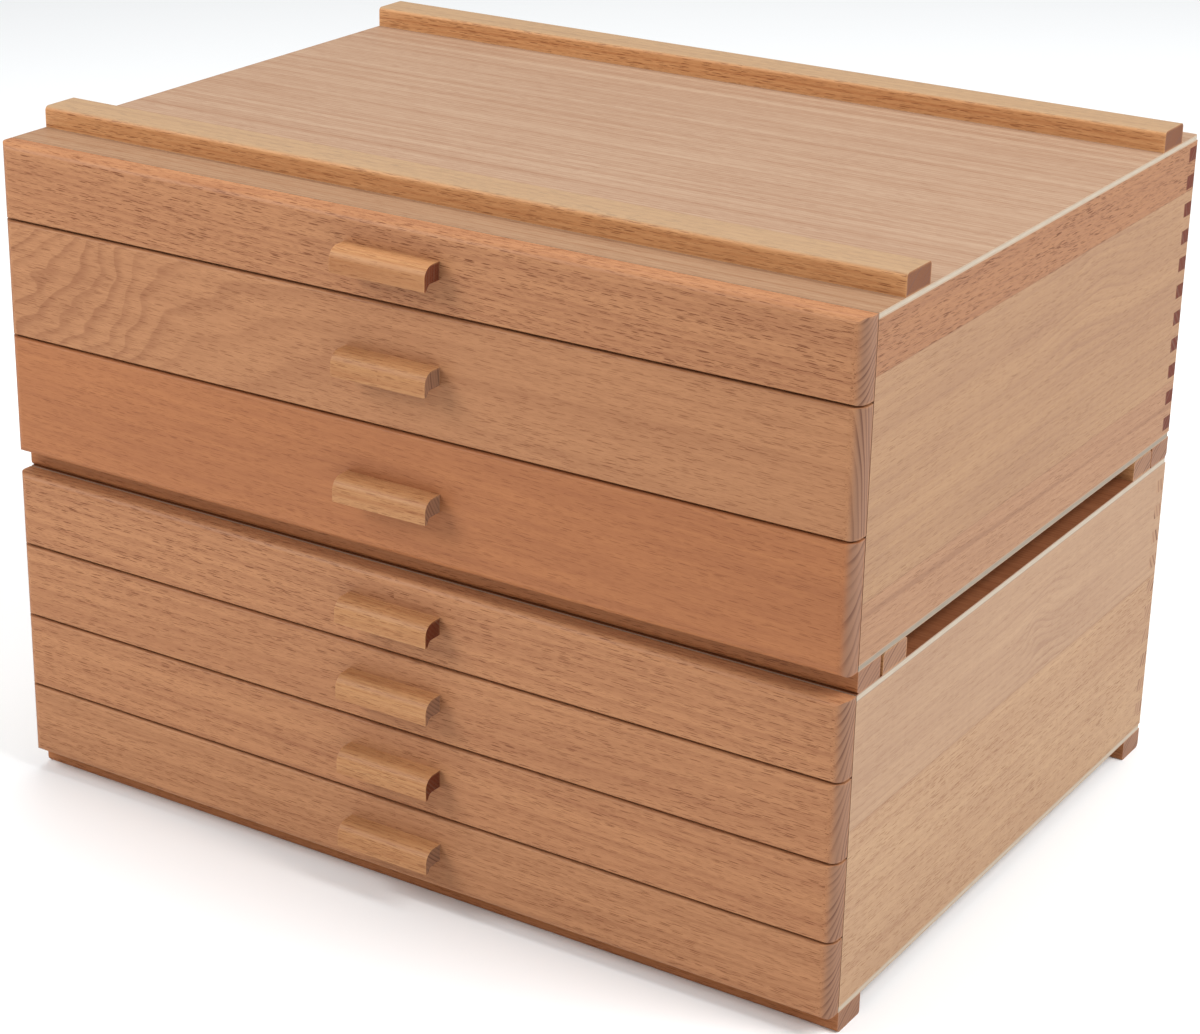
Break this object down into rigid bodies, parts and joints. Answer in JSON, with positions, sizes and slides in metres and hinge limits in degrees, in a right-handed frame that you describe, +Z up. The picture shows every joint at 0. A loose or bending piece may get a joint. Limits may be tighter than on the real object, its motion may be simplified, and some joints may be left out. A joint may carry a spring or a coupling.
{
  "type": "stacking drawer chest",
  "caption": "Stacking finger-jointed beech chests with shallow full-width drawers and coved finger pulls, for pencils and craft supplies.",
  "frame": {"origin": "on the floor, at the middle of the overall footprint with every drawer closed", "axes": "+Z up, drawer fronts and pulls towards -Y, +X to the right of someone facing the drawers"},
  "size_m": [0.4, 0.3134, 0.2972],
  "materials": {
    "drawer_front": "satin",
    "finger_pull": "satin",
    "case_side": "satin",
    "case_back": "satin",
    "case_plywood": "satin",
    "rail": "satin",
    "foot": "satin",
    "runner": "satin",
    "drawer_wall": "satin",
    "drawer_plywood": "satin"
  },
  "bodies": {
    "lower_chest": {"lower_side_left": "case_side", "lower_side_right": "case_side", "lower_back": "case_back", "lower_bottom_panel": "case_plywood", "lower_top_panel": "case_plywood", "lower_rail_front": "rail", "lower_rail_rear": "rail", "lower_foot_front": "foot", "lower_foot_rear": "foot", "lower_runners_left": "runner", "lower_runners_right": "runner"},
    "upper_chest": {"upper_side_left": "case_side", "upper_side_right": "case_side", "upper_back": "case_back", "upper_bottom_panel": "case_plywood", "upper_top_panel": "case_plywood", "upper_rail_front": "rail", "upper_rail_rear": "rail", "upper_foot_front": "foot", "upper_foot_rear": "foot", "upper_runners_left": "runner", "upper_runners_right": "runner"},
    "drawer_1": {"drawer_1_front": "drawer_front", "drawer_1_pull": "finger_pull", "drawer_1_sides": "drawer_wall", "drawer_1_back": "drawer_wall", "drawer_1_bottom": "drawer_plywood"},
    "drawer_2": {"drawer_2_front": "drawer_front", "drawer_2_pull": "finger_pull", "drawer_2_sides": "drawer_wall", "drawer_2_back": "drawer_wall", "drawer_2_bottom": "drawer_plywood"},
    "drawer_3": {"drawer_3_front": "drawer_front", "drawer_3_pull": "finger_pull", "drawer_3_sides": "drawer_wall", "drawer_3_back": "drawer_wall", "drawer_3_bottom": "drawer_plywood"},
    "drawer_4": {"drawer_4_front": "drawer_front", "drawer_4_pull": "finger_pull", "drawer_4_sides": "drawer_wall", "drawer_4_back": "drawer_wall", "drawer_4_bottom": "drawer_plywood"},
    "drawer_5": {"drawer_5_front": "drawer_front", "drawer_5_pull": "finger_pull", "drawer_5_sides": "drawer_wall", "drawer_5_back": "drawer_wall", "drawer_5_bottom": "drawer_plywood"},
    "drawer_6": {"drawer_6_front": "drawer_front", "drawer_6_pull": "finger_pull", "drawer_6_sides": "drawer_wall", "drawer_6_back": "drawer_wall", "drawer_6_bottom": "drawer_plywood"},
    "drawer_7": {"drawer_7_front": "drawer_front", "drawer_7_pull": "finger_pull", "drawer_7_sides": "drawer_wall", "drawer_7_back": "drawer_wall", "drawer_7_bottom": "drawer_plywood"}
  },
  "joints": [
    {"name": "upper_chest_lift", "type": "slide", "parent": "lower_chest", "child": "upper_chest", "axis": [0, 0, 1], "range_m": [0, 0.06]},
    {"name": "drawer_1_slide", "type": "slide", "parent": "upper_chest", "child": "drawer_1", "axis": [0, -1, 0], "range_m": [0, 0.2]},
    {"name": "drawer_2_slide", "type": "slide", "parent": "upper_chest", "child": "drawer_2", "axis": [0, -1, 0], "range_m": [0, 0.2]},
    {"name": "drawer_3_slide", "type": "slide", "parent": "upper_chest", "child": "drawer_3", "axis": [0, -1, 0], "range_m": [0, 0.2]},
    {"name": "drawer_4_slide", "type": "slide", "parent": "lower_chest", "child": "drawer_4", "axis": [0, -1, 0], "range_m": [0, 0.2]},
    {"name": "drawer_5_slide", "type": "slide", "parent": "lower_chest", "child": "drawer_5", "axis": [0, -1, 0], "range_m": [0, 0.2]},
    {"name": "drawer_6_slide", "type": "slide", "parent": "lower_chest", "child": "drawer_6", "axis": [0, -1, 0], "range_m": [0, 0.2]},
    {"name": "drawer_7_slide", "type": "slide", "parent": "lower_chest", "child": "drawer_7", "axis": [0, -1, 0], "range_m": [0, 0.2]}
  ]
}
